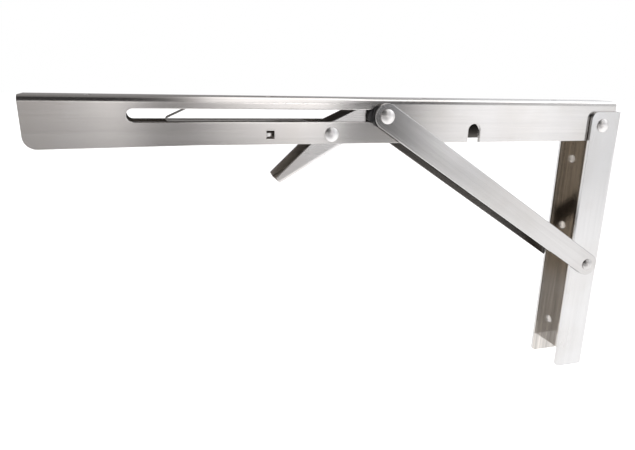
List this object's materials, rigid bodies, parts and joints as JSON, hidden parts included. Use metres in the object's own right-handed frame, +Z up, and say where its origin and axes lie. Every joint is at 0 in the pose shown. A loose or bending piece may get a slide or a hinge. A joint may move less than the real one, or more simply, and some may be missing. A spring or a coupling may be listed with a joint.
{
  "type": "folding table bracket",
  "caption": "Sheet-steel folding bracket: a table rail hinged on a wall channel, held level by a pair of strut bars that slide in the rail and lock behind a sprung lever.",
  "frame": {"origin": "midway between the outer two wall screw holes, on the wall plane", "axes": "+X into the wall, so the rail reaches towards -X; +Z up; the near side is -Y; modelled open, rail level"},
  "size_m": [0.4, 0.0406, 0.21],
  "materials": {
    "rail_steel": "brushed along the rail",
    "channel_steel": "brushed along the channel",
    "strut_steel": "brushed along the bar",
    "lever_steel": "satin",
    "rivet_steel": "polished by the riveting tool",
    "washer_steel": "satin",
    "spring_steel": "drawn wire",
    "shoe_plastic": "matt, moulded"
  },
  "bodies": {
    "wall": {"wall_channel": "channel_steel", "wall_pivot_rivet": "rivet_steel", "wall_pivot_spacer": "washer_steel", "wall_pivot_washer_near": "washer_steel", "wall_pivot_washer_far": "washer_steel", "strut_pivot_pin": "rivet_steel", "strut_pivot_washer_near": "washer_steel", "strut_pivot_washer_far": "washer_steel"},
    "rail": {"table_rail": "rail_steel", "lever_rivet": "rivet_steel", "lever_spacer": "washer_steel", "lever_washer_near": "washer_steel", "lever_washer_far": "washer_steel", "latch_spring": "spring_steel"},
    "strut": {"strut_bar_near": "strut_steel", "strut_bar_far": "strut_steel", "slide_rivet_near": "rivet_steel", "slide_rivet_far": "rivet_steel"},
    "carriage": {"slide_shoe_near": "shoe_plastic", "slide_shoe_far": "shoe_plastic"},
    "lever": {"release_lever": "lever_steel"}
  },
  "joints": [
    {"name": "fold", "type": "hinge", "parent": "wall", "child": "rail", "pos_m": [-0.0165, 0, 0.102], "axis": [0, -1, 0], "range_deg": [0, 90]},
    {"name": "strut_turn", "type": "hinge", "parent": "wall", "child": "strut", "pos_m": [-0.013, 0, -0.004], "axis": [0, -1, 0], "range_deg": [0, 119.99]},
    {"name": "carriage_slide", "type": "slide", "parent": "rail", "child": "carriage", "axis": [-1, 0, 0], "range_m": [0, 0.14221]},
    {"name": "lever_press", "type": "hinge", "parent": "rail", "child": "lever", "pos_m": [-0.2233, 0, 0.0968], "axis": [0, 1, 0], "range_deg": [0, 30], "stiffness_Nm_per_rad": 0.05, "springref_deg": -45.84, "deforming": ["latch_spring"]}
  ],
  "couplings": [
    {"joint": "strut_turn", "follows": "fold", "ratio": 1.3332},
    {"joint": "carriage_slide", "follows": "fold", "m_per_rad": 0.090529}
  ]
}
